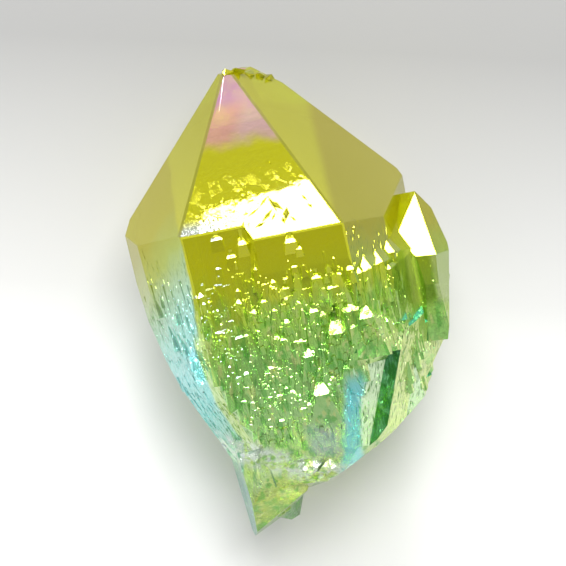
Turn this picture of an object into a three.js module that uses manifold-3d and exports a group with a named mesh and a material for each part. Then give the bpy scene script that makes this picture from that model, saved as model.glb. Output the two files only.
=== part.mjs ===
// A single stubby quartz point with a smaller point grown against its right side.
// The crystal lies on its back side face: the long axis runs along +Y towards the tip,
// +X is to the right when seen from above and +Z points up. Sizes are in millimetres.
//
// Almost every face lies at one of the angles of quartz, so each grown-together part is
// the solid between a handful of planes, and all of them are joined into one body.

import * as THREE from "three";
import { ConvexGeometry } from "three/addons/geometries/ConvexGeometry.js";
import { mergeVertices } from "three/addons/utils/BufferGeometryUtils.js";
import Module from "manifold-3d";

const wasm = await Module();
wasm.setup();

// ---------------------------------------------------------------- driving sizes

const TIP_LEAN = 38.2; // a tip face leans this far from the side face below it, degrees
const SIDE_TURN = 60; // from one side face to the next round the long axis, degrees

const LEFT_HEIGHT = 28.6; // upper side face above the resting face, left part
const RIGHT_HEIGHT = 30.0; // the same face on the right part, one growth step higher
const STEP_X = -2.3; // where the right part steps up
const SHOULDER_Y = 5.4; // where the upper side face meets the front tip face
const LEFT_EDGE_X = -10.45; // edge between the upper and the left side face
const RIGHT_EDGE_X = 7.95; // edge between the upper and the right side face
const BREAK_Y = 25.6; // the top of the point is broken off here
const WEAR = 0.09; // how deep the rubbed edges are

const SIDE_POINT_HEIGHT = 20.0; // upper face of the small point on the right
const SIDE_POINT_YAW = -5; // the small point is not quite parallel, degrees

// ---------------------------------------------------------------- planes of quartz

const radians = THREE.MathUtils.degToRad;
const vector = (x, y, z) => new THREE.Vector3(x, y, z);
const TIP_SLOPE = Math.tan(radians(TIP_LEAN)); // fall of the front tip face along Y

// Outward normal of a face turned round the long axis (0 is straight up, positive to the
// right) that leans towards the tip (positive) or towards the base (negative).
function faceNormal(turn, lean) {
  const t = radians(turn);
  const l = radians(lean);
  return vector(
    Math.sin(t) * Math.cos(l),
    Math.sin(l),
    Math.cos(t) * Math.cos(l),
  );
}

// The half-space behind a face that passes through a point.
const behind = (normal, x, y, z) =>
  new THREE.Plane().setFromNormalAndCoplanarPoint(
    normal.clone().normalize(),
    vector(x, y, z),
  );
const face = (turn, lean, x, y, z) => behind(faceNormal(turn, lean), x, y, z);
const side = (k, x, y, z) => face(k * SIDE_TURN, 0, x, y, z);
const tip = (k, x, y, z) => face(k * SIDE_TURN, TIP_LEAN, x, y, z);

// A rubbed edge: a narrow plane just inside the corner of two faces.
function worn(p, q, depth = WEAR) {
  const normal = p.normal.clone().add(q.normal).normalize();
  const line = p.normal.clone().cross(q.normal).normalize();
  const m = new THREE.Matrix3();
  m.set(...p.normal.toArray(), ...q.normal.toArray(), ...line.toArray()).invert();
  const corner = vector(-p.constant, -q.constant, 0).applyMatrix3(m);
  return behind(normal, ...corner.addScaledVector(normal, -depth).toArray());
}

// ---------------------------------------------------------------- solids between planes

const ON_PLANE = 1e-6;

// All corners of the convex solid that lies behind every plane.
function cornersBehind(planes) {
  const corners = [];
  const m = new THREE.Matrix3();
  for (let a = 0; a < planes.length; a++)
    for (let b = a + 1; b < planes.length; b++)
      for (let c = b + 1; c < planes.length; c++) {
        const [p, q, r] = [planes[a], planes[b], planes[c]];
        m.set(...p.normal.toArray(), ...q.normal.toArray(), ...r.normal.toArray());
        if (Math.abs(m.determinant()) < 1e-5) continue;
        const corner = vector(-p.constant, -q.constant, -r.constant);
        corner.applyMatrix3(m.invert());
        if (planes.every((plane) => plane.distanceToPoint(corner) < ON_PLANE))
          corners.push(corner);
      }
  return corners;
}

function toManifold(geometry) {
  const bare = geometry.clone();
  bare.deleteAttribute("normal");
  bare.deleteAttribute("uv");
  const merged = mergeVertices(bare, 1e-4);
  return new wasm.Manifold(
    new wasm.Mesh({
      numProp: 3,
      vertProperties: merged.attributes.position.array,
      triVerts: new Uint32Array(merged.index.array),
    }),
  );
}

const solidBehind = (planes) =>
  toManifold(new ConvexGeometry(cornersBehind(planes)));

// Height of the top of such a solid over a spot on the floor.
function heightOver(planes, x, y) {
  const heights = planes
    .filter((plane) => plane.normal.z > 0.05)
    .map((p) => (-p.constant - p.normal.x * x - p.normal.y * y) / p.normal.z);
  return Math.min(...heights);
}

// Seeded random numbers, so the crystal is the same every time.
let seed = 20240;
function random(low = 0, high = 1) {
  seed = (seed * 1664525 + 1013904223) % 4294967296;
  return low + ((high - low) * seed) / 4294967296;
}

// ---------------------------------------------------------------- the main point

const tipFront = tip(0, 0, SHOULDER_Y, RIGHT_HEIGHT);
const tipBack = tip(3, 0, 24.4, 7.5);
const tipRight = tip(1, RIGHT_EDGE_X, SHOULDER_Y, RIGHT_HEIGHT);
const tipLeft = tip(-1, LEFT_EDGE_X - 0.05, 7.45, LEFT_HEIGHT);
const tipRightUnder = tip(2, 12.8, 14.7, 7.0);
const tipLeftUnder = tip(-2, -16.1, 11.2, 12.9);
const rest = side(3, 0, 0, 0);
const sideRight = side(1, RIGHT_EDGE_X, 0, RIGHT_HEIGHT);
const sideLeft = face(-60, -2.5, LEFT_EDGE_X, 7, LEFT_HEIGHT);
const frontLeft = side(0, 0, 0, LEFT_HEIGHT);
const frontRight = face(0, -2, 0, SHOULDER_Y, RIGHT_HEIGHT);

// The pale strip low on the right flank, and the slant at which the flutes above it end.
const paleFlank = face(45.5, -16, 7.3, -10.3, 27.0);
const fluteEnd = face(46, -36, 7.3, -10.3, 27.4);

// Faces shared by the left and the right part, from the tip down to the broken base.
const shared = [
  tipFront,
  tipBack,
  tipRight,
  tipLeft,
  tipRightUnder,
  tipLeftUnder,
  behind(vector(0.12, 0.96, 0.22), -2.9, BREAK_Y, 14),
  worn(tipFront, tipRight),
  worn(tipFront, tipLeft),
  rest,
  sideRight,
  sideLeft,
  // the left side bulges, then narrows towards the base in three bends
  face(-75, -3.5, -17.1, 6, 14.3),
  side(-2, -17.15, 0, 14.2),
  face(-69, -12, -16.35, -1.8, 15.0),
  face(-66, -23, -14.35, -9.4, 16.0),
  face(-118, -12, -16.35, -1.8, 15.0),
  face(-116, -23, -14.35, -9.4, 16.0),
  face(-30, -9, -9.7, -4.6, 28.3),
  // the upper face falls away towards the base
  face(0, -9, 0, -11, 27.9),
  face(0, -20, 0, -17, 26.6),
  face(-4, -38, -5, -20.3, 24.6),
  behind(vector(-0.08, -0.97, 0.2), -5, -23.0, 22.4),
  // the right side drops steeply beside the small point
  face(75, 0, 12.9, 0, 21.5),
  side(2, 16.7, 0, 8.0),
  // lower down it narrows in steps: flank, pale strip and underside
  face(28, -15, 4.9, -12.2, 27.75),
  paleFlank,
  face(118, -16, 15.6, -8, 8.5),
  face(180, -14, 0, -13, 0),
];

const leftPart = [
  ...shared,
  frontLeft,
  face(0, -3, 0, -1, LEFT_HEIGHT),
  worn(frontLeft, sideLeft),
  worn(frontLeft, tipFront, 0.05),
];
const rightPart = [
  ...shared,
  frontRight,
  face(0, -7, 0, -1, 29.8),
  side(-1, STEP_X, 0, RIGHT_HEIGHT),
  worn(frontRight, tipFront, 0.05),
  worn(frontRight, sideRight),
];

// The broken base: the flank breaks off in a slanting, undercut fracture, and a stub
// is left hanging at its left end.
const fracture = [
  behind(vector(0.75, -0.66, -0.2), 13.3, -16.5, 17),
  behind(vector(0.5, -0.86, -0.2), 10.2, -18.8, 20.5),
  behind(vector(0.43, -0.9, -0.15), 4.6, -21.9, 24.5),
  behind(vector(0.42, -0.74, 0.5), 4.1, -20.8, 25.0),
  behind(vector(0.6, -0.62, 0.5), 8.6, -19.75, 22.3),
];
const stub = [
  behind(vector(-0.98, -0.1, 0.1), -9.3, -22.4, 14),
  behind(vector(-0.66, -0.1, 0.74), -7.4, -21.6, 21.9),
  behind(vector(-0.05, -0.6, 0.8), -4.8, -21.9, 22.9),
  behind(vector(0.06, -0.82, 0.57), -5.2, -24.6, 20.2),
  behind(vector(0.5, -0.5, 0.7), -1.9, -23.2, 20.6),
  behind(vector(0.9, -0.4, -0.1), -3.0, -25.2, 13),
  behind(vector(0.1, -0.96, -0.25), -6.0, -28.1, 8),
  behind(vector(0.46, -0.88, 0.1), -6.6, -27.9, 9.5),
  behind(vector(-0.75, 0, -0.66), -9.0, -24, 8),
  behind(vector(0.62, 0, -0.78), -4, -24, 6),
  behind(vector(0, -0.42, -0.91), -6, -27.5, 6),
  behind(vector(0, 1, 0), 0, -15, 0),
  rest,
];
const stubLobe = [
  behind(vector(-0.6, -0.8, 0), -5.6, -27.3, 10),
  behind(vector(0.35, -0.9, 0.25), -4.8, -27.8, 9.5),
  behind(vector(0.93, -0.3, 0.2), -3.7, -26.6, 11),
  behind(vector(0.1, -0.55, 0.83), -4.4, -25.2, 14.4),
  behind(vector(0, -0.3, -0.95), -4.6, -27, 7.2),
  behind(vector(-1, 0, 0), -8, 0, 0),
  behind(vector(0, 1, 0), 0, -21, 0),
];

// ---------------------------------------------------------------- grown-on crystals

// A parallel crystal: its upper face begins at (x, y, z) below its own tip face and runs
// towards the base; `point` is how far up the tip face the slanting shoulders begin.
function parallel({
  x, y, z, width,
  depth = 6, turn = 0, lean = -3, left = -60, right = 60, point = 0.3, low = fluteEnd,
}) {
  const drop = point * TIP_SLOPE;
  const [l, r] = [x - width / 2, x + width / 2];
  const edge = (at) => z - (at - x) * Math.tan(radians(turn));
  return [
    face(turn, lean, x, y, z),
    tip(0, x, y, z),
    face(left, lean, l, y, edge(l)),
    face(right, lean, r, y, edge(r)),
    tip(-1, l, y + point, edge(l) - drop),
    tip(1, r, y + point, edge(r) - drop),
    low,
    behind(vector(0, 0, -1), x, y, z - depth),
    behind(vector(0, 1, 0), x, y + 9, z),
  ];
}

// Flutes down the right side, from the upper face outwards.
const flutes = [
  { x: 7.75, y: 0.0, z: 30.1, width: 0.7, right: 70, lean: -7 },
  { x: 8.6, y: -0.6, z: 29.35, width: 0.7, turn: 12, right: 74, lean: -5 },
  { x: 9.5, y: -0.4, z: 28.6, width: 1.5, turn: 14, right: 78, lean: -4 },
  { x: 11.15, y: 0.1, z: 25.9, width: 1.3, turn: 14, right: 66, point: 0.1 },
  { x: 12.0, y: -0.8, z: 25.2, width: 1.0, turn: 8, right: 70, point: 0.1 },
  { x: 12.6, y: 1.05, z: 23.0, width: 1.3, right: 60, point: 0.2 },
  {
    x: 13.7, y: 1.2, z: 20.9, width: 1.4, turn: 4, right: 72, point: 0.1,
    low: face(30, -40, 13.7, -9, 20.5),
  },
  // the second row
  { x: 7.0, y: -4.6, z: 29.75, width: 1.6, right: 66, point: 0.4, lean: -7 },
  { x: 10.0, y: -7.6, z: 27.2, width: 1.2, turn: 6, right: 66, point: 0 },
  { x: 8.3, y: -8.8, z: 27.6, width: 1.3, turn: 10, right: 66, point: 0.2 },
].map(parallel);

// Lower right: a broad crystal with a striped flank, ending in a ragged ledge.
const flank = [
  face(5, -2.5, 7.84, -16.12, 24.1),
  face(60, -18.5, 9.42, -16.43, 23.95),
  face(88, -4, 17.9, -7, 15),
  face(118, -20, 16.4, -10, 12.2),
  face(180, -14, 0, -13, 0),
];
const ledge = [
  { left: 5.6, right: 10.6, y: -9.0, lean: 58 },
  { left: 10.4, right: 12.0, y: -7.4, lean: 58 },
  { left: 11.8, right: 13.3, y: -6.8, lean: 66 },
  { left: 13.1, right: 14.3, y: -7.5, lean: 70 },
  { left: 14.1, right: 15.4, y: -6.9, lean: 62 },
  { left: 15.2, right: 16.5, y: -7.4, lean: 56 },
  { left: 16.3, right: 19.0, y: -6.9, lean: 50 },
];
const LEDGE_REACH = 2.5; // how far the sloping ends run on, under the small point
const lowerRight = ledge.map(({ left, right, y, lean }) => [
  ...flank,
  face(92, -38, 16.4, -11.3, 12),
  face(8, lean, left, y, heightOver(flank, (left + right) / 2, y)),
  behind(vector(0, 1, -0.1), 0, y + LEDGE_REACH, 15),
  behind(vector(-1, 0, 0), left, 0, 0),
  behind(vector(1, 0, 0), right, 0, 0),
]);
const lowerLobe = [
  ...flank,
  face(92, -36, 14.7, -14.5, 12),
  behind(vector(0.2, 0.95, 0.25), 14.6, -13.4, 14),
  behind(vector(-1, 0, 0), 8, 0, 0),
];

// The small point on the right, turned slightly against the main one.
const sidePoint = [
  side(0, 0, 0, 0),
  face(0, -15, 0, -3.4, 0),
  face(-46, -9, -1.1, 0, -0.2),
  tip(0, 0, 0, 0),
  behind(vector(-0.66, 0.66, 0.35), -0.55, 6.6, -5.2),
  behind(vector(0.72, 0.51, 0.47), 1.35, 0.1, 0),
  tip(2, 0.3, 7.5, -6.2),
  face(90, 17, 2.45, 3.4, 0),
  side(-1, -1.1, 0, 0),
  side(1, 1.4, 0, 0),
  face(100, -8, 2.95, 0.3, -4),
  side(2, 2.95, 0, -5.2),
  side(-2, -3, 0, -8),
  side(3, 0, 0, -16),
  behind(vector(0, -1, 0), 0, -10, 0),
];
const sidePointPlace = new THREE.Matrix4()
  .makeRotationZ(radians(SIDE_POINT_YAW))
  .setPosition(16.7, 0.0, SIDE_POINT_HEIGHT);
for (const plane of sidePoint) plane.applyMatrix4(sidePointPlace);

const body = [leftPart, rightPart, ...flutes, ...lowerRight, lowerLobe, sidePoint];
const surface = (x, y) => Math.max(...body.map((planes) => heightOver(planes, x, y)));
const fallAt = (x, y) => Math.max(0, surface(x, y) - surface(x, y - 1));

// ---------------------------------------------------------------- growth on the faces

// A tip face comes to a point when it reaches this far up over its width.
const POINT_REACH = 1 / (2 * TIP_SLOPE * Math.tan(radians(SIDE_TURN / 2)));

// A low terrace on a face, in that face's own frame: z = 0 is the face, +y the tip side.
// Its tip face is `rise` high, and its top sinks back into the face towards the base,
// where the face itself may fall away, `fall` for each millimetre.
function terrace({
  width, rise, length, fall = 0, point = 0, skew = 0, root = 0.5, lean = TIP_LEAN,
}) {
  const sink = THREE.MathUtils.radToDeg(Math.atan(rise / length + fall)) + 1.5;
  const drop = point * TIP_SLOPE;
  return [
    face(skew, -sink, 0, 0, rise),
    face(0, lean, 0, 0, rise),
    face(-60, 0, -width / 2, 0, rise),
    face(60, 0, width / 2, 0, rise),
    tip(-1, -width / 2, point, rise - drop),
    tip(1, width / 2, point, rise - drop),
    behind(vector(0, 0, -1), 0, 0, -root),
    behind(vector(0, -1, 0), 0, -length * 1.15, 0),
  ];
}

// Places planes: turned round the long axis, turned a little on the face, then moved.
function placed(planes, turn, twist, x, y, z) {
  const place = new THREE.Matrix4()
    .makeRotationY(radians(turn))
    .multiply(new THREE.Matrix4().makeRotationZ(radians(twist)))
    .setPosition(x, y, z);
  return planes.map((plane) => plane.clone().applyMatrix4(place));
}

// Growth layers with a wavy upper edge, broad and low: place, width, reach, length, skew.
const layers = [
  [-9.2, 0.2, 0.9, 0.2, 9, -8], [-8.3, 0.8, 1.0, 0.18, 10, 5], [-7.3, 1.1, 0.9, 0.2, 10, -5],
  [-6.4, 0.9, 0.8, 0.18, 9, 7], [-4.6, 1.9, 0.9, 0.2, 8, -7], [-2.0, 0.2, 0.9, 0.16, 9, 8],
  [-1.0, -0.6, 1.0, 0.2, 9, -6], [0.6, 0.4, 0.9, 0.2, 9, 7], [2.4, -1.2, 1.0, 0.22, 8, -9],
  [5.6, -1.6, 1.5, 0.3, 8, 6], [-8.3, -4.2, 1.5, 0.3, 9, -7], [-5.8, -5.2, 1.6, 0.3, 8, 5],
  [0.6, -6.9, 1.6, 0.3, 8, -6], [3.6, -8.3, 1.5, 0.3, 7, 7], [-3.1, -9.3, 1.6, 0.3, 7, 6],
];
const growth = [];
for (const [x, y, width, reach, length, skew] of layers) {
  const size = { width, rise: reach * TIP_SLOPE, length, point: 0.1 };
  const lean = TIP_LEAN + random(-8, 8);
  const planes = terrace({ ...size, skew, lean, fall: fallAt(x, y) });
  growth.push(placed(planes, 0, 0, x, y, surface(x, y) - 0.02));
}

// Smaller terraces, thicker on the ground towards the base. Few of their tip faces are
// quite parallel to the large one.
const BASE_Y = -16.4; // the rough base begins here
const leftLimit = (y) => -9.5 + Math.max(0, -4 - y) * 0.16;
const rightLimit = (y) => 7.0 - Math.max(0, -6 - y) * 0.15;
for (let i = 0; i < 82; i++) {
  const y = 2.2 - (2.2 - BASE_Y) * Math.pow(random(), 0.8);
  const x = random(leftLimit(y), rightLimit(y));
  const reach = random(0.18, 0.5);
  const size = { rise: reach * TIP_SLOPE, width: reach * random(0.8, 1.7) + 0.1 };
  const slant = { fall: fallAt(x, y), skew: random(-15, 15), lean: TIP_LEAN + random(-9, 9) };
  const planes = terrace({ ...size, ...slant, length: random(1.8, 4.8) });
  growth.push(placed(planes, 0, random(-6, 6), x, y, surface(x, y)));
}

// Short crystals with mirror-bright tip faces: place of the lower edge of the tip face,
// its width, how far it reaches up, and how long the crystal runs down.
const brightFacets = [
  [-6.5, 6.2, 1.3, 0.55, 1.6], [-3.7, 5.1, 0.9, 1.0, 1.5], [-5.2, 3.9, 1.0, 0.6, 2.0],
  [1.7, 4.3, 1.2, 0.9, 1.4], [2.5, 3.4, 0.6, 0.55, 1.0], [-6.9, 2.9, 0.6, 0.4, 2.0],
  [1.6, 1.5, 0.6, 0.35, 1.8], [3.8, -0.2, 1.0, 0.6, 3.5], [0.2, -0.7, 0.7, 0.4, 3.0],
  [-3.5, -4.9, 0.8, 1.1, 3.0], [-1.9, -6.1, 0.6, 0.7, 2.5], [-1.2, -6.4, 0.75, 0.6, 2.5],
  [2.8, -3.9, 0.9, 0.9, 3.0], [4.9, -6.8, 1.65, 2.4, 5.0], [8.4, -5.7, 1.9, 1.4, 4.0],
  [10.4, -6.6, 1.0, 1.35, 3.0], [9.5, -8.1, 0.8, 0.6, 2.0], [1.2, -8.8, 0.9, 1.3, 3.0],
  [6.1, -10.0, 0.7, 1.0, 2.5], [5.3, -10.9, 0.85, 0.95, 3.0], [1.9, -13.3, 1.5, 2.3, 3.5],
  [0.5, -14.2, 0.85, 0.7, 2.0], [2.0, -10.4, 0.5, 0.5, 1.6], [-3.7, -9.8, 0.6, 0.6, 2.4],
  [6.4, -4.4, 0.8, 0.7, 3.0], [-6.6, -3.2, 0.5, 0.6, 2.0], [-0.4, -2.4, 0.6, 0.5, 2.0],
];

// A bright tip face starts below the surface round it, in a notch that slopes back up.
const SUNKEN = 0.45; // share of its height that is below the surface
const NOTCH_LENGTH = 1.5; // length of the slope back up, over the reach of the face
const bright = [];
const notches = [];
for (const [x, y, width, reach, length] of brightFacets) {
  const [low, high] = [surface(x, y), surface(x, y + reach)];
  const foot = high - SUNKEN * reach * TIP_SLOPE;
  const rise = foot + reach * TIP_SLOPE - low;
  const point = Math.max(0.15 * reach, reach - POINT_REACH * width);
  const size = { width, rise, length, point, root: 1.5 };
  bright.push(placed(terrace({ ...size, fall: fallAt(x, y) }), 0, 0, x, y, low));
  const rim = (dx, dy) => [x + dx * width, y + dy * reach, high + 0.3];
  notches.push(
    wasm.Manifold.hull([
      [x - 0.2 * width, y + reach, foot],
      [x + 0.2 * width, y + reach, foot],
      rim(-0.6, 0.2),
      rim(0.6, 0.2),
      rim(-0.5, 1),
      rim(0.5, 1),
      rim(-0.2, 1 + NOTCH_LENGTH),
      rim(0.3, 1 + NOTCH_LENGTH),
    ]),
  );
}
// A gully down the upper end of the pale strip.
notches.push(
  wasm.Manifold.hull([
    [8.55, -8.4, surface(8.55, -8.4) + 0.3],
    [9.25, -8.6, surface(9.25, -8.6) + 0.3],
    [8.85, -9.6, surface(8.85, -9.6) - 0.6],
    [8.2, -12.4, surface(8.2, -12.4) + 0.3],
    [8.6, -12.2, surface(8.6, -12.2) + 0.3],
  ]),
);

// Narrow ledges that run with the long axis down the left side face.
const leftFaceX = (y) => -15.2 + Math.max(0, 1 - y) * 0.2;
for (let i = 0; i < 26; i++) {
  const y = 3.4 - 11 * random();
  const x = random(leftFaceX(y), leftLimit(y) - 1.2);
  const size = { width: random(0.22, 0.42), rise: random(0.1, 0.17), length: random(1.4, 3.2) };
  growth.push(
    placed(terrace(size), -62, 4 + random(-4, 4) + 8 * (y < -3), x, y, surface(x, y) - 0.05),
  );
}

// The same on the lower right flank.
for (let i = 0; i < 9; i++) {
  const y = -8.6 - 6.5 * random();
  const x = random(12.4, 14.9) + (y + 12) * 0.4;
  const size = { width: random(0.22, 0.4), rise: random(0.1, 0.16), length: random(1.2, 2.4) };
  growth.push(
    placed(terrace(size), 62, 20 + random(-4, 4), x, y, surface(x, y) - 0.08),
  );
}

// Growth lines on the sides that face down.
const under = [side(-2, -17.15, 0, 14.2), side(2, 16.7, 0, 8.0)];
for (let i = 0; i < 26; i++) {
  const left = i % 2 === 0;
  const plane = under[left ? 0 : 1];
  const [x, y] = left ? [random(-16, -12), random(2, 9)] : [random(12.6, 16), random(-3, 8)];
  const z = -(plane.constant + plane.normal.x * x) / plane.normal.z;
  const size = { width: random(0.3, 0.8), rise: random(0.12, 0.22), length: random(2, 5) };
  growth.push(placed(terrace(size), left ? -120 : 120, random(-4, 4), x, y, z));
}

// A rough lump: the hull of a few points scattered over a squashed ball.
function lump(x, y, z, across, along, up, points = 11) {
  const cloud = [];
  for (let i = 0; i < points; i++) {
    const t = random(0, 2 * Math.PI);
    const h = random(-1, 1);
    const r = Math.sqrt(1 - h * h);
    cloud.push([x + across * r * Math.cos(t), y + along * r * Math.sin(t), z + up * h]);
  }
  return wasm.Manifold.hull(cloud);
}

const lumps = [
  // along the broken chisel tip
  lump(-1.7, 25.5, 13.6, 0.8, 0.8, 0.9),
  lump(-0.4, 25.7, 12.6, 1.0, 0.6, 1.2),
  lump(0.8, 25.4, 10.8, 1.0, 0.6, 1.2),
  lump(1.9, 25.0, 9.2, 1.0, 0.5, 1.1),
  lump(3.0, 24.6, 8.4, 0.8, 0.5, 0.9),
  // the knobbly strip on the outer edge of the small point
  lump(18.6, -1.0, 16.6, 0.8, 1.3, 1.6),
  lump(18.8, -2.6, 15.8, 0.7, 1.2, 1.6),
  lump(18.2, -4.0, 15.6, 0.9, 1.3, 1.6),
  lump(17.9, -5.6, 14.8, 0.9, 1.3, 1.6),
  lump(17.3, -7.0, 14.4, 1.0, 1.3, 1.8),
  lump(16.7, -8.6, 13.9, 0.9, 1.3, 1.6),
  // the frosted lower edge above the fracture
  ...[
    [-7.2, -18.4], [-5.8, -19.3], [-4.2, -20.0], [-2.6, -20.8], [-0.9, -21.3], [0.9, -21.5],
  ].map(([x, y]) => lump(x, y, surface(x, y) - 0.35, 1.5, 1.0, 0.9)),
];

// Shallow pits in the front tip face, each from one end to the other with its width.
const tipFaceHeight = (y) => RIGHT_HEIGHT - (y - SHOULDER_Y) * TIP_SLOPE;
const PIT_DEPTH = 0.14;
function pit([x1, y1, x2, y2, width]) {
  const across = vector(y1 - y2, x2 - x1, 0).setLength(width / 2);
  const [x, y] = [(x1 + x2) / 2, (y1 + y2) / 2];
  const at = (px, py, up) => [px, py, tipFaceHeight(py) + up];
  return wasm.Manifold.hull([
    at(x1, y1, 0.02),
    at(x2, y2, 0.02),
    at(x + across.x, y + across.y, 0.02),
    at(x - across.x, y - across.y, 0.02),
    at(x, y, -PIT_DEPTH),
    at(x, y, PIT_DEPTH * 2),
  ]);
}
const pits = [
  [0.95, 7.9, 0.15, 10.3, 0.42], [0.3, 10.2, -1.1, 8.9, 0.36], [-0.9, 9.0, -2.6, 8.1, 0.28],
  [0.75, 8.1, 0.1, 7.2, 0.34], [4.6, 8.6, 3.9, 9.6, 0.3], [-3.0, 7.9, -3.5, 6.3, 0.4],
  [2.2, 7.3, 2.9, 6.6, 0.3], [-5.2, 9.6, -6.3, 9.2, 0.2], [1.4, 13.6, 0.7, 14.3, 0.2],
].map(pit);

// ---------------------------------------------------------------- joining

let crystal = wasm.Manifold.union([...body, ...growth].map(solidBehind));
crystal = crystal.subtract(wasm.Manifold.union(notches));
crystal = wasm.Manifold.union([crystal, ...bright.map(solidBehind)]);
for (const plane of fracture)
  crystal = crystal.trimByPlane(plane.normal.clone().negate().toArray(), plane.constant);
crystal = wasm.Manifold.union([crystal, solidBehind(stub), solidBehind(stubLobe), ...lumps]);
crystal = crystal.subtract(wasm.Manifold.union(pits));
crystal = crystal.trimByPlane([0, 0, 1], 0).simplify(0.01);

// Small gaps closed in between the grown-on crystals are filled: only the outside stays.
[crystal] = crystal.decompose().sort((a, b) => b.volume() - a.volume());

// The origin is under the middle of the box round the crystal.
const box = crystal.boundingBox();
crystal = crystal.translate([
  -(box.min[0] + box.max[0]) / 2,
  -(box.min[1] + box.max[1]) / 2,
  -box.min[2],
]);

const geometryOf = (solid) => {
  const mesh = solid.getMesh();
  const geometry = new THREE.BufferGeometry();
  geometry.setAttribute(
    "position",
    new THREE.BufferAttribute(mesh.vertProperties, 3),
  );
  geometry.setIndex(new THREE.BufferAttribute(mesh.triVerts, 1));
  const faceted = geometry.toNonIndexed();
  faceted.computeVertexNormals();
  return faceted;
};

const group = new THREE.Group();
const quartz = new THREE.Mesh(
  geometryOf(crystal),
  new THREE.MeshStandardMaterial({ color: 0xb4c45a, roughness: 0.12, metalness: 0 }),
);
quartz.name = "quartz_crystal";
group.add(quartz);

export default group;
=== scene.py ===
import math
import random
from functools import reduce

import bmesh
import bpy
from mathutils import Matrix, Quaternion, Vector, noise as scatter
from mathutils.bvhtree import BVHTree


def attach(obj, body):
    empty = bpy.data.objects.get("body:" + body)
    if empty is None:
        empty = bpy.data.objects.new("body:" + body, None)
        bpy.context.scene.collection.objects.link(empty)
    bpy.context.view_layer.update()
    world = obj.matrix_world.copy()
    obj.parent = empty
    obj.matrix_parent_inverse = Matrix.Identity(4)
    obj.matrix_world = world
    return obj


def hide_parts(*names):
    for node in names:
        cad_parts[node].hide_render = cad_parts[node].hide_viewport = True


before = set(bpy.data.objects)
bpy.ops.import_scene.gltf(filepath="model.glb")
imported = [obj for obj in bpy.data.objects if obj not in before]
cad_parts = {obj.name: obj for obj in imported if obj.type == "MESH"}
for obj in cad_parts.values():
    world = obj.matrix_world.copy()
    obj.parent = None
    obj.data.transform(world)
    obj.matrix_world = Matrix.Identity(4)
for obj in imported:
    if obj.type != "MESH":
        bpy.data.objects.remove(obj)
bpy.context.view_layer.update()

# ---------------------------------------------------------------- the grown crystal
# One stubby quartz point with a smaller one grown onto its right side. Its side faces carry
# about a thousand thin parallel crystals, roof-tile fashion, all with their own little tip
# faces, and short etched slots. All of it grew as one piece.

MM = 0.001
TIP_LEAN = math.radians(38.2)  # between a tip face and the long axis
FACE_TURN = math.radians(60)  # between one side face and the next
SAME_POINT = 1e-7  # metres: corners of the solid that are closer than this are one

# places in millimetres: y runs along the crystal to its tip, x to its right and z up
SHOULDER = 6.7  # the tip faces begin here, along the crystal
BASE = -16.5  # below this the crystal is broken and frosted
STRIPES_TOP = -7.5  # below this the long smooth stripes lie, low on the right
STRIPES_LEFT = 4.4  # and they lie to the right of this
SMALL_POINT_LEFT = 12.3  # the small point and its smooth side lie to the right of this
RESTING = 0.5  # faces lower than this are the one that the crystal rests on

STEEP = 0.5  # radians: a face that leans further is a tip face or the end of a ledge
UPPER_TURN = 0.7  # radians: a face turned less than this from straight up is an upper face
ETCHED_UP = 0.35  # a side face whose normal rises more than this is etched

# Slivers are the thin crystals. On the upper and the side faces: how many there are to a
# square millimetre where they crowd together, and the least and greatest width, length and
# rise to width.
UPPER_HABIT = {"crowd": 6.5, "width": (0.12, 0.4), "length": (0.8, 3.6), "rise": (0.4, 0.8)}
SIDE_HABIT = {"crowd": 1.4, "width": (0.1, 0.22), "length": (0.8, 2.2), "rise": (0.25, 0.5)}
SLIVERS_TOP = 4.5  # they thin out towards this place along the crystal
SLIVERS_THIN = 9  # over this length
ROOT = 0.3 * MM  # how deep a sliver reaches into the body
SHORTENED = (1, 0.7, 0.5, 0.35)  # shares of its length that are tried until its root is inside
WALLS = (46, 66)  # degrees from the face it lies on: the least and greatest turn of its walls
SINK = 0.02  # radians more than a sliver's top needs to meet the face at its far end
NEAR_FACE = 0.25 * MM  # the outline of a sliver's foot lies no further than this from a face
CLUMP = 1.6  # millimetres across a clump of slivers

# Etched slots: how many there are to a square millimetre, and the least and greatest length,
# width and depth. They thin out towards the shoulder.
SLOT_HABIT = {"crowd": 2.2, "length": (0.4, 1.3), "width": (0.07, 0.16), "depth": (0.06, 0.12)}
SLOTS_THIN = 6  # over this length
SLOT_LEAN_LEFT = math.radians(6)
SLOT_LEAN_RIGHT = math.radians(-8)
MARK_DEPTH = 0.2  # millimetres, of the etched mark on the front tip face
OVERHEAD = 60  # millimetres up, well above the crystal
MERGED = 0.0002 * MM  # points closer than this become one
chance = random.Random(7)


def add_object(name, data):
    made = bpy.data.objects.new(name, data)
    bpy.context.scene.collection.objects.link(made)
    return made


def write_mesh(shape, mesh):
    shape.to_mesh(mesh)
    shape.free()
    return mesh


crystal_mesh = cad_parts["quartz_crystal"].data.copy()
body = bmesh.new()
body.from_mesh(crystal_mesh)
bmesh.ops.remove_doubles(body, verts=body.verts, dist=SAME_POINT)
write_mesh(body, crystal_mesh)
crystal_mesh.materials.clear()
crystal = add_object("grown_quartz", crystal_mesh)
surface = BVHTree.FromPolygons(
    [vertex.co for vertex in crystal_mesh.vertices],
    [polygon.vertices[:] for polygon in crystal_mesh.polygons],
)


def face_normal(turn, lean):
    """The outward direction of a face turned round the long axis, leaning to the tip."""
    return Vector((math.sin(turn) * math.cos(lean), math.sin(lean), math.cos(turn) * math.cos(lean)))


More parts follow.
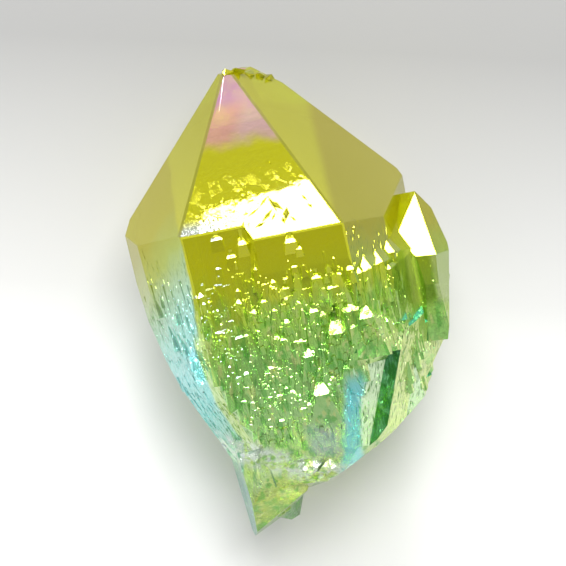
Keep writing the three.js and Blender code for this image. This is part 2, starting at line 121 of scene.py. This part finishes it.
def cut(shape, point, normal):
    """Cuts away what lies in front of a plane and closes the cut."""
    parts = shape.verts[:] + shape.edges[:] + shape.faces[:]
    made = bmesh.ops.bisect_plane(shape, geom=parts, plane_co=point, plane_no=normal, clear_outer=True)
    rim = [e for e in made["geom_cut"] if isinstance(e, bmesh.types.BMEdge)]
    if rim:
        bmesh.ops.edgenet_fill(shape, edges=rim)


def stand_on(point, turn, slope, twist):
    """A frame on a face: z out of it and y towards the tip."""
    spin = Matrix.Rotation(turn, 4, "Y") @ Matrix.Rotation(-slope, 4, "X") @ Matrix.Rotation(twist, 4, "Z")
    return Matrix.Translation(point) @ spin


def sliver(slope, width, rise, length, stray):
    """A thin crystal lying on a face, its top sinking into the face towards the base."""
    shape = bmesh.new()
    bmesh.ops.create_cube(shape, size=1.0)
    # The block to cut it from reaches one length back from the lip and 0.3 of it ahead.
    block = (width + 2 * rise + 2 * ROOT, length * 1.3, rise * 2 + ROOT)
    bmesh.ops.scale(shape, verts=shape.verts, vec=block)
    bmesh.ops.translate(shape, verts=shape.verts, vec=(0, -length * 0.35, rise - ROOT / 2))
    lip = Vector((0, 0, rise))
    cut(shape, lip, face_normal(0, -math.atan(rise / length) - SINK))
    tip_lean = TIP_LEAN - slope + stray
    cut(shape, lip, face_normal(chance.uniform(-0.5, 0.5) * stray, tip_lean))
    for hand in (-1, 1):
        edge = lip + Vector((hand * width / 2, 0, 0))
        cut(shape, edge, face_normal(hand * math.radians(chance.uniform(*WALLS)), 0))
        shoulder = edge - Vector((0, width * chance.uniform(0, 0.5), 0))
        cut(shape, shoulder, face_normal(hand * FACE_TURN, tip_lean))
    return shape


def slot(width, length, depth):
    """What is cut away for one etched slot: a long thin lozenge."""
    shape = bmesh.new()
    bmesh.ops.create_uvsphere(shape, u_segments=4, v_segments=2, radius=1.0)
    bmesh.ops.scale(shape, verts=shape.verts, vec=(width / 2, length / 2, depth))
    return shape


def buried(point):
    near, out, _, _ = surface.find_nearest(point)
    return (point - near).dot(out) < 0


def shallow(point):
    return surface.find_nearest(point)[3] < NEAR_FACE


def root_buried(place, width, length):
    """True where the foot of a sliver would be inside the body all round."""
    corners = [(x, y) for x in (-width / 2, width / 2) for y in (width / 2, -length)]
    feet = [place @ Vector((x, y, -ROOT)) for x, y in corners]
    tops = [place @ Vector((x, y, 0)) for x, y in corners]
    return all(buried(foot) for foot in feet) and all(shallow(top) for top in tops)


class Batch:
    """Shapes whose boxes don't meet, so that one boolean can join or cut them all."""

    def __init__(self):
        self.mesh = bmesh.new()
        self.boxes = []

    def takes(self, low, high):
        for a, b in self.boxes:
            if all(a[i] < high[i] and low[i] < b[i] for i in range(3)):
                return False
        return True


def add_to(batches, shape, place):
    """Puts a shape in its place, in the first batch that has room for it."""
    bmesh.ops.transform(shape, matrix=place, verts=shape.verts)
    corners = [v.co for v in shape.verts]
    low = Vector(map(min, *corners))
    high = Vector(map(max, *corners))
    batch = next((b for b in batches if b.takes(low, high)), None)
    if batch is None:
        batch = Batch()
        batches.append(batch)
    batch.boxes.append((low, high))
    piece = write_mesh(shape, bpy.data.meshes.new("piece"))
    batch.mesh.from_mesh(piece)
    bpy.data.meshes.remove(piece)


def work_in(batches, operation):
    """Joins the batches to the crystal, or cuts them out of it, one after another."""
    tools = []
    for batch in batches:
        tool = add_object("tool", write_mesh(batch.mesh, bpy.data.meshes.new("tool")))
        tools.append(tool)
        step = crystal.modifiers.new(operation.lower(), "BOOLEAN")
        step.operation = operation
        step.solver = "MANIFOLD"
        step.object = tool
    result = bpy.data.meshes.new_from_object(crystal.evaluated_get(bpy.context.evaluated_depsgraph_get()))
    crystal.modifiers.clear()
    crystal.data = result
    for tool in tools:
        bpy.data.meshes.remove(tool.data)


def somewhere_on(polygon):
    a, b, c = [crystal_mesh.vertices[i].co for i in polygon.vertices]
    u, v = sorted((chance.random(), chance.random()))
    return a * u + b * (v - u) + c * (1 - v)


def clamped(value):
    return max(0, min(1, value))


def crowding(point):
    """0 to 1, high where the slivers crowd together."""
    spot = Vector((point.x, point.y / 2, point.z)) / (CLUMP * MM)
    return clamped(0.5 + 0.9 * scatter.noise(spot))


def stays_smooth(point):
    """True on the small point and on the stripes below it, where nothing small grows."""
    return point.x > (STRIPES_LEFT if point.y < STRIPES_TOP * MM else SMALL_POINT_LEFT) * MM


def grow_sliver(point, turn, slope, habit):
    """Grows a sliver on a point, if its kind grows there and its root finds room."""
    width = chance.uniform(*habit["width"]) * MM
    length = chance.uniform(*habit["length"]) * MM
    rise = width * chance.uniform(*habit["rise"])
    wander = 0.03 if chance.random() < 0.4 else 0.25  # four in ten keep close to the crystal's angles
    stray = chance.uniform(-wander, wander)
    place = stand_on(point, turn, slope, chance.uniform(-0.1, 0.1))
    if chance.random() > crowding(point) or stays_smooth(point):
        return
    share = next((s for s in SHORTENED if root_buried(place, width, length * s)), None)
    if share:
        add_to(joined, sliver(slope, width, rise, length * share, stray), place)


def etch_slot(point, turn, slope):
    """Etches a slot that leans a little outwards towards the tip."""
    twist = (SLOT_LEAN_LEFT if turn < 0 else SLOT_LEAN_RIGHT) + chance.uniform(-0.08, 0.08)
    length = chance.uniform(*SLOT_HABIT["length"]) * MM
    width = chance.uniform(*SLOT_HABIT["width"]) * MM
    depth = chance.uniform(*SLOT_HABIT["depth"]) * MM
    add_to(slots, slot(width, length, depth), stand_on(point, turn, slope, twist))


joined = []
slots = []
for polygon in crystal_mesh.polygons:
    out = polygon.normal
    along = polygon.center.y / MM
    turn = math.atan2(out.x, out.z)
    slope = math.asin(max(-1, min(1, out.y)))
    if polygon.center.z < RESTING * MM or abs(slope) > STEEP or along > SHOULDER:
        continue
    area = polygon.area / MM**2
    upper = abs(turn) < UPPER_TURN
    if along > BASE:
        habit = UPPER_HABIT if upper else SIDE_HABIT
        wanted = area * habit["crowd"] * clamped((SLIVERS_TOP - along) / SLIVERS_THIN)
        for _ in range(int(wanted + chance.random())):
            grow_sliver(somewhere_on(polygon), turn, slope, habit)
    if not upper and out.z > ETCHED_UP:
        wanted = area * SLOT_HABIT["crowd"] * clamped((SHOULDER - along) / SLOTS_THIN)
        for _ in range(int(wanted + chance.random())):
            point = somewhere_on(polygon)
            if along <= STRIPES_TOP or not stays_smooth(point):
                etch_slot(point, turn, slope)

# the etched mark on the front tip face: x, y, length, width and turn of each of its strokes
for across, along, length, width, turn in (
    (-0.45, 10.25, 2.4, 0.75, 38),
    (0.55, 9.0, 2.0, 0.8, -12),
    (-1.6, 9.2, 2.2, 0.5, -42),
    (-2.6, 8.3, 1.4, 0.45, -70),
    (0.1, 8.3, 1.0, 0.5, 10),
    (3.4, 9.4, 0.9, 0.35, 30),
    (-4.4, 8.2, 2.0, 0.4, -8),
):
    above = Vector((across, along, OVERHEAD)) * MM
    etched = surface.ray_cast(above, Vector((0, 0, -1)))[0]
    stroke = slot(width * MM, length * MM, MARK_DEPTH * MM)
    add_to(slots, stroke, stand_on(etched, 0, TIP_LEAN, math.radians(turn)))
work_in(joined, "UNION")
work_in(slots, "DIFFERENCE")


def islands(shape):
    """The connected groups of faces of a mesh."""
    left = set(shape.faces)
    groups = []
    while left:
        group = [left.pop()]
        for face in group:
            touching = {other for edge in face.edges for other in edge.link_faces} & left
            left -= touching
            group.extend(touching)
        groups.append(group)
    return groups


# Points that fell together are merged, and crumbs that hang on nothing are swept away.
grown = bmesh.new()
grown.from_mesh(crystal.data)
bmesh.ops.remove_doubles(grown, verts=grown.verts, dist=MERGED)
for crumb in sorted(islands(grown), key=len)[:-1]:
    bmesh.ops.delete(grown, geom=crumb, context="FACES")
bare = [edge for edge in grown.edges if not edge.link_faces]
bmesh.ops.delete(grown, geom=bare, context="EDGES")
write_mesh(grown, crystal.data)
crystal.data.materials.clear()
crystal.data.polygons.foreach_set("material_index", [0] * len(crystal.data.polygons))
crystal.data.polygons.foreach_set("use_smooth", [False] * len(crystal.data.polygons))

# The quartz itself is clear. A film of metal a few atoms thick, laid on it in a hot
# vacuum, gives it lemon, olive, green and aqua. The aqua of the side faces is partly a
# painted sheen, and the rose sheen near the tip is painted.
quartz = bpy.data.materials.new("aura_quartz")
quartz.use_nodes = True
film = quartz.node_tree
shader = film.nodes["Principled BSDF"]


def make(tree, kind, inputs=None, **settings):
    """A node with its settings, and its inputs linked or set."""
    made = tree.nodes.new(kind)
    for name, value in settings.items():
        setattr(made, name, value)
    for key, value in (inputs or {}).items():
        if isinstance(value, bpy.types.NodeSocket):
            tree.links.new(value, made.inputs[key])
        else:
            made.inputs[key].default_value = value
    return made


def fade(value, low, high):
    """0 at low and 1 at high, smooth between them. Low may be above high."""
    inputs = {"Value": value, "From Min": low, "From Max": high}
    return make(film, "ShaderNodeMapRange", inputs, interpolation_type="SMOOTHSTEP").outputs["Result"]


def reckon(operation, a, b=0):
    return make(film, "ShaderNodeMath", {0: a, 1: b}, operation=operation).outputs[0]


def plus(*parts):
    return reduce(lambda a, b: reckon("ADD", a, b), parts)


def times(*parts):
    return reduce(lambda a, b: reckon("MULTIPLY", a, b), parts)


def band(value, start, full, ebb, end):
    """Rises from 0 at start to 1 at full, and falls from 1 at ebb to 0 at end."""
    return times(fade(value, start, full), fade(value, end, ebb))


def vectors(operation, a, b):
    return make(film, "ShaderNodeVectorMath", {0: a, 1: b}, operation=operation)


def colour(red, green, blue):
    """A colour given as it looks on a screen, 0 to 255."""
    steps = (red, green, blue)
    return tuple(((v / 255 + 0.055) / 1.055) ** 2.4 if v > 10 else v / 3294 for v in steps) + (1,)


def mixed(share, a, b):
    return make(film, "ShaderNodeMix", {0: share, 6: a, 7: b}, data_type="RGBA").outputs[2]


def graded(tree, share, stops):
    """Colours that blend into each other, given as (place from 0 to 1, colour)."""
    made = make(tree, "ShaderNodeValToRGB", {"Fac": share})
    elements = made.color_ramp.elements
    while len(elements) < len(stops):
        elements.new(0.5)
    for element, (place, shade) in zip(elements, stops):
        element.position = place
        element.color = shade
    return made.outputs["Color"]


def ramp(value, low, high, stops):
    """Colours at places in millimetres between low and high, given as (place, colour)."""
    inputs = {"Value": value, "From Min": low, "From Max": high}
    share = make(film, "ShaderNodeMapRange", inputs).outputs["Result"]
    return graded(film, share, [((place - low) / (high - low), shade) for place, shade in stops])


where = make(film, "ShaderNodeTexCoord")
scale = (1 / MM, 1 / MM, 1 / MM)
millimetres = make(film, "ShaderNodeMapping", {"Vector": where.outputs["Object"], "Scale": scale}).outputs[0]
x, y, z = make(film, "ShaderNodeSeparateXYZ", {0: millimetres}).outputs
right, tipward, up = make(film, "ShaderNodeSeparateXYZ", {0: where.outputs["Normal"]}).outputs
aside = reckon("ABSOLUTE", right)


def spread(size, stretch, turn, shift):
    """Coordinates in which a lump of a size in millimetres is one unit, drawn out along the axis."""
    turned = make(film, "ShaderNodeMapping", {"Vector": millimetres, "Rotation": (0, 0, turn)}).outputs[0]
    inputs = {"Vector": turned, "Scale": (1 / size, 1 / size / stretch, 1 / size), "Location": (shift,) * 3}
    return make(film, "ShaderNodeMapping", inputs).outputs[0]


def noise(size, detail=2, stretch=1.0, turn=0.0, shift=0.0):
    inputs = {"Vector": spread(size, stretch, turn, shift), "Scale": 1, "Detail": detail, "Roughness": 0.5}
    return make(film, "ShaderNodeTexNoise", inputs).outputs["Fac"]


def shards(size, stretch, slope):
    """Relief of little flat faces, each tilted its own way, in millimetres."""
    cells = make(film, "ShaderNodeTexVoronoi", {"Vector": spread(size, stretch, 0, 0), "Scale": 1})
    vector = cells.inputs["Vector"].links[0].from_socket
    reach = vectors("SUBTRACT", vector, cells.outputs["Position"]).outputs["Vector"]
    tilt = vectors("SUBTRACT", cells.outputs["Color"], (0.5, 0.5, 0.5)).outputs["Vector"]
    return times(vectors("DOT_PRODUCT", reach, tilt).outputs["Value"], size * slope)


# Colours along the upper faces, mottled, with darker and paler streaks down the crystal.
# The ramps along the crystal cover its whole length, from the base to the tip.
BASE_END, TIP_END = -28, 28
mottle = times(plus(noise(2.6, 3, 1.6), -0.5), 8)
upper_colour = ramp(plus(y, times(mottle, fade(y, 6, 0))), BASE_END, TIP_END, [
    (-27.7, colour(85, 140, 60)),
    (-25.5, colour(140, 180, 85)),
    (-23, colour(195, 210, 95)),
    (-20, colour(210, 230, 165)),
    (-15, colour(178, 226, 144)),
    (-8, colour(166, 224, 120)),
    (-3, colour(180, 225, 85)),
    (1, colour(212, 226, 35)),
    (5, colour(225, 225, 12)),
    (28, colour(200, 195, 5)),
])
low_down = fade(y, 3, -6)
deep = times(fade(noise(0.8, 3, 4), 0.5, 0.62), low_down)
upper_colour = mixed(times(deep, 0.6), upper_colour, colour(85, 185, 60))
pale = times(fade(noise(0.6, 3, 5, shift=7), 0.54, 0.64), low_down)
upper_colour = mixed(times(pale, 0.6), upper_colour, colour(225, 235, 150))

# The upper face ends on the left at an edge that bends at three places.
inward = plus(x, 11.5)
for bend, slant in ((-4, -0.15), (-11, -0.3), (-16, 0.65)):
    beyond = reckon("MAXIMUM", reckon("SUBTRACT", bend, y))
    inward = plus(inward, times(beyond, slant))

# the left faces: the film's colour, with a painted aqua sheen where the faces turn to the left
left_coating_and_sheen = ramp(plus(y, times(mottle, 0.4), times(inward, -0.9)), BASE_END, TIP_END, [
    (-24, colour(120, 180, 170)),
    (-14, colour(150, 220, 185)),
    (-9, colour(150, 245, 240)),
    (-4, colour(170, 250, 250)),
    (1, colour(185, 250, 235)),
    (5, colour(190, 228, 175)),
    (8.5, colour(195, 212, 85)),
    (13, colour(200, 195, 5)),
    (28, colour(195, 180, 5)),
])
right_colour = ramp(plus(y, times(mottle, 0.4)), BASE_END, TIP_END, [
    (-14, colour(235, 255, 165)),
    (-8, colour(230, 252, 150)),
    (-2, colour(160, 210, 70)),
    (6, colour(190, 185, 10)),
    (28, colour(190, 175, 5)),
])
coating_and_painted_light = mixed(fade(plus(inward, times(mottle, 0.12)), -0.1, -0.5), upper_colour, left_coating_and_sheen)
coating_and_painted_light = mixed(times(fade(right, 0.5, 0.7), fade(x, 5.2, 6.4)), coating_and_painted_light, right_colour)

# the rubbed edges of the front tip face are duller
rubbed = times(band(aside, 0.12, 0.2, 0.45, 0.55), fade(tipward, 0.4, 0.5))
coating_and_painted_light = mixed(times(rubbed, 0.6), coating_and_painted_light, colour(130, 130, 20))

# painted shade: dark little dashes down the side faces, standing for the shade in little etched pits
sideways = fade(aside, 0.55, 0.7)
shaded_dashes = times(fade(noise(0.13, 1, 7, turn=0.12), 0.6, 0.68), sideways, fade(y, 8.5, 4))
coating_and_painted_light = mixed(times(shaded_dashes, 0.75), coating_and_painted_light, colour(70, 130, 60))

# the pale bevel between the upper and the left face
bevel = times(band(inward, -1.3, -0.9, -0.1, 0.1), fade(y, -2, -4))
coating_and_painted_light = mixed(times(bevel, 0.85), coating_and_painted_light, colour(215, 245, 135))

# low on the right: the pale strip and the dark green stripe beside it
pale_strip = times(fade(right, 0.6, 0.66), fade(up, 0.6, 0.66), fade(y, -6, -9))
coating_and_painted_light = mixed(pale_strip, coating_and_painted_light, colour(225, 255, 205))
level = times(band(tipward, -0.2, -0.1, 0.1, 0.2), fade(right, 0.3, 0.15))
green_stripe = times(level, fade(x, 4.4, 5.0), fade(y, -6.5, -7.5))
striped = mixed(fade(noise(0.5, 2, 3), 0.45, 0.6), colour(60, 160, 60), colour(110, 200, 130))
coating_and_painted_light = mixed(green_stripe, coating_and_painted_light, striped)

# an aqua strip beside them, which leans to the right towards the tip, and a patch of painted violet sheen
aqua_middle = plus(times(y, 0.222), 7.0)
from_middle = plus(x, times(aqua_middle, -1), times(mottle, 0.25))
aqua = times(band(from_middle, -1.6, -0.4, 0.6, 1.6), fade(y, -9.5, -12))
aqua = times(aqua, fade(plus(z, times(mottle, 0.6)), 15, 19))
coating_and_painted_light = mixed(times(aqua, 0.8), coating_and_painted_light, colour(135, 235, 250))
from_violet_sheen = vectors("DISTANCE", millimetres, (0.2, -16.8, 25)).outputs["Value"]
violet_sheen = fade(plus(from_violet_sheen, times(mottle, 0.4)), 3.2, 1.2)
coating_and_painted_light = mixed(times(violet_sheen, 0.5), coating_and_painted_light, colour(160, 175, 225))

# the side of the small point is banded across its width
small_point = times(fade(x, 12.0, 12.9), fade(tipward, 0.1, -0.1), band(y, -5, -3.5, 2, 4))
coating_and_painted_light = mixed(small_point, coating_and_painted_light, ramp(plus(x, times(mottle, 0.05)), 10, 20, [
    (12.9, colour(170, 205, 60)),
    (13.4, colour(222, 240, 120)),
    (14.1, colour(222, 240, 120)),
    (14.5, colour(125, 165, 30)),
    (15.8, colour(125, 165, 30)),
    (16.3, colour(205, 225, 150)),
]))

# aqua where ledges face the tip low on the right
ledge = times(fade(tipward, 0.6, 0.75), fade(x, 8, 9), fade(y, -3, -5))
coating_and_painted_light = mixed(ledge, coating_and_painted_light, colour(110, 225, 210))

# The frosted band above the broken end runs down to the right. The stub has a blue rim,
# and the lobe beside it is dark green.
frost_height = plus(y, times(plus(x, 5), 0.45))
frost = times(band(frost_height, -21.5, -20, -18.2, -17), fade(noise(1.1, 4), 0.38, 0.55))
coating_and_painted_light = mixed(times(frost, 0.85), coating_and_painted_light, colour(238, 246, 245))
rim = times(fade(y, -19, -21), fade(right, -0.6, -0.8))
coating_and_painted_light = mixed(rim, coating_and_painted_light, colour(95, 175, 170))
lobe = times(fade(plus(x, times(y, -1.16)), 23.2, 23.7), fade(y, -21.8, -22.6))
coating_and_painted_light = mixed(times(lobe, 0.9), coating_and_painted_light, colour(40, 145, 10))

# fine scratches run across the broken end
scratched = times(fade(noise(0.12, 1, 8, turn=-1.0), 0.58, 0.66), fade(y, -19.5, -21.5))
coating_and_painted_light = mixed(times(scratched, 0.6), coating_and_painted_light, colour(105, 135, 45))

# painted sheen: a rose sheen painted on the top of the front tip face, warmer on the left, and a painted
# pale blue sheen in its lower left corner
front_tip = times(fade(tipward, 0.5, 0.58), fade(up, 0.6, 0.75))
# painted sheen: the rose stands in for the film mirroring the backdrop
painted_rose_sheen = times(front_tip, fade(plus(y, times(noise(3.0, 2), 3)), 18.8, 21.2))
rose_sheen_colour = mixed(fade(noise(4.5, 2), 0.35, 0.65), colour(208, 150, 182), colour(218, 178, 170))
warmer_sheen_left = times(fade(plus(x, times(y, -0.45)), -11, -13.5), fade(y, 24, 22), 0.6)
coating_and_painted_light = mixed(painted_rose_sheen, coating_and_painted_light, mixed(warmer_sheen_left, rose_sheen_colour, colour(228, 165, 120)))
# painted sheen: the pale blue of the front tip face's lower left corner
blue_sheen_corner = times(front_tip, fade(x, -6, -8.5), fade(y, 10.5, 9))
coating_and_painted_light = mixed(times(blue_sheen_corner, 0.6), coating_and_painted_light, colour(200, 215, 255))
film.links.new(coating_and_painted_light, shader.inputs["Base Color"])

for socket, value in (
    ("IOR", 1.544),  # quartz
    ("Metallic", 0.42),  # the film of metal
    ("Transmission Weight", 0.65),
    ("Coat Weight", 0.06),
    ("Coat Roughness", 0.02),
    ("Coat IOR", 1.6),
):
    shader.inputs[socket].default_value = value

# smooth tip faces, grown faces a little matt in patches, the broken end frosted
broken_end = fade(y, -16, -19)
worn = times(fade(noise(1.4, 3, 2, shift=3), 0.45, 0.6), low_down)
satin = times(fade(aside, 0.5, 0.65), fade(y, 4, 8))
matt = plus(times(worn, 0.1), times(satin, 0.12), times(broken_end, 0.16))
film.links.new(plus(matt, 0.014), shader.inputs["Roughness"])

# Relief in millimetres: a fine grain on the grown faces, sparkling patches on the front tip
# face but for its polished lower right, a wide swell, splinters and the rough broken end.
fine = times(noise(0.22, 2), 0.014)
polished = times(fade(plus(x, times(mottle, 0.5)), -3.0, -1.5), fade(y, 12.5, 11.5))
patches = fade(noise(1.2, 3, shift=5), 0.5, 0.6)
granular = times(fade(x, -3.5, -7), fade(y, 11, 9))
sparkling = times(front_tip, fade(y, 15.5, 12), patches, reckon("SUBTRACT", 1, polished))
sparkling = plus(sparkling, times(front_tip, granular, 1.2))
grain = plus(times(fine, low_down, 1.2), times(shards(0.22, 1, 0.015), sparkling))
swell = times(noise(3.2, 3), 0.009)
splintered = times(shards(0.45, 2.6, 0.35), low_down, fade(noise(1.8, 2, shift=11), 0.4, 0.55))
rough_end = times(noise(0.8, 4, shift=2), broken_end, 0.14)
relief = plus(grain, swell, splintered, rough_end)
bump = make(film, "ShaderNodeBump", {"Height": relief, "Distance": MM, "Strength": 1.0})
film.links.new(bump.outputs["Normal"], shader.inputs["Normal"])

# light that crosses the stone loses most of its blue
tint = make(film, "ShaderNodeVolumeAbsorption", {"Color": (0.9, 0.97, 0.3, 1), "Density": 30})
film.links.new(tint.outputs["Volume"], film.nodes["Material Output"].inputs["Volume"])

crystal.data.materials.append(quartz)
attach(crystal, "root")
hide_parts("quartz_crystal")

# ---------------------------------------------------------------- floor
# A plain sheet of pale paper under the crystal, with painted shade that darkens it towards
# the back. It lies flat on the table, and it isn't part of the object.
FLOOR_REACH = 3.0  # metres from its middle to each side
SHADE_TURN = math.radians(14)  # the shade deepens along a line turned this much
SHADE_NEAR = -25 * MM
SHADE_FAR = 30 * MM
SHADES = ((0, 0.78), (0.45, 0.47), (1, 0.26))  # grey at places from near to far
WARMTH = 0.985  # of the paper: its blue as a share of its red and green
floor_mesh = bpy.data.meshes.new("floor")
sheet = bmesh.new()
bmesh.ops.create_grid(sheet, x_segments=1, y_segments=1, size=FLOOR_REACH)
floor = add_object("floor", write_mesh(sheet, floor_mesh))
paper = bpy.data.materials.new("paper")
paper.use_nodes = True
pulp = paper.node_tree
on_floor = make(pulp, "ShaderNodeTexCoord").outputs["Object"]
turned = make(pulp, "ShaderNodeMapping", {"Vector": on_floor, "Rotation": (0, 0, SHADE_TURN)}).outputs[0]
back = make(pulp, "ShaderNodeSeparateXYZ", {0: turned}).outputs["Y"]
depth = {"Value": back, "From Min": SHADE_NEAR, "From Max": SHADE_FAR}
share = make(pulp, "ShaderNodeMapRange", depth).outputs["Result"]
# painted shade: the paper's grey falls from near to far
shade = graded(pulp, share, [(place, (grey, grey, grey * WARMTH, 1)) for place, grey in SHADES])
pulp.links.new(shade, pulp.nodes["Principled BSDF"].inputs["Base Color"])
pulp.nodes["Principled BSDF"].inputs["Roughness"].default_value = 0.9
floor_mesh.materials.append(paper)

# ---------------------------------------------------------------- light and camera
# A bright room with a dim band low round its walls and a dark ceiling, one soft key light,
# and two low softboxes behind the tip, which the tip faces mirror.
BRIGHTNESS = (  # grey at heights from the horizon, 0, to straight up, 1
    (0, 0.85), (0.175, 0.85), (0.19, 0.42), (0.222, 0.42),
    (0.232, 1.0), (0.26, 0.85), (0.80, 0.85), (0.93, 0.25),
)
world = bpy.data.worlds.new("studio")
bpy.context.scene.world = world
world.use_nodes = True
room = world.node_tree
direction = make(room, "ShaderNodeTexCoord").outputs["Generated"]
rising = make(room, "ShaderNodeSeparateXYZ", {0: direction}).outputs["Z"]
walls = graded(room, rising, [(place, (grey, grey, grey, 1)) for place, grey in BRIGHTNESS])
room.links.new(walls, room.nodes["Background"].inputs["Color"])


def lamp(name, at, aim, width, height, power, roll=0):
    """A rectangular light, in metres and watts."""
    data = bpy.data.lights.new(name, "AREA")
    data.shape = "RECTANGLE"
    data.size = width
    data.size_y = height
    data.energy = power
    light = add_object(name, data)
    light.location = at
    light.rotation_mode = "QUATERNION"
    facing = (Vector(aim) - Vector(at)).to_track_quat("-Z", "Y")
    light.rotation_quaternion = facing @ Quaternion((0, 0, 1), math.radians(roll))
    light.visible_camera = False


SOFTBOX_BACK = 0.40  # metres behind the middle of the crystal
SOFTBOX_HEIGHT = 0.20  # metres from its lower to its upper edge
SOFTBOX_GLOW = 75  # watts to a square metre
SOFTBOX_ROLL = 8  # degrees
lamp("key", (0.14, 0.25, 0.62), (0, 0, 0.01), 0.3, 0.3, 3.4)
for name, across, above, width in (("front", 0.078, 0.197, 0.164), ("left", -0.094, 0.221, 0.112)):
    power = SOFTBOX_GLOW * width * SOFTBOX_HEIGHT
    aim = (across, 0, above)
    lamp(name, (across, SOFTBOX_BACK, above), aim, width, SOFTBOX_HEIGHT, power, SOFTBOX_ROLL)

CAMERA_PLACE = (-0.001316, 0.001331, 0.365)  # metres, and it looks straight down
CAMERA_TURN = math.radians(-11)
camera_data = bpy.data.cameras.new("camera")
camera_data.lens = 188.6
camera_data.clip_start = 0.01
camera_data.clip_end = 10
camera = add_object("camera", camera_data)
camera.location = CAMERA_PLACE
camera.rotation_euler = (0, 0, CAMERA_TURN)
bpy.context.scene.camera = camera
bpy.context.scene.view_settings.view_transform = "Standard"
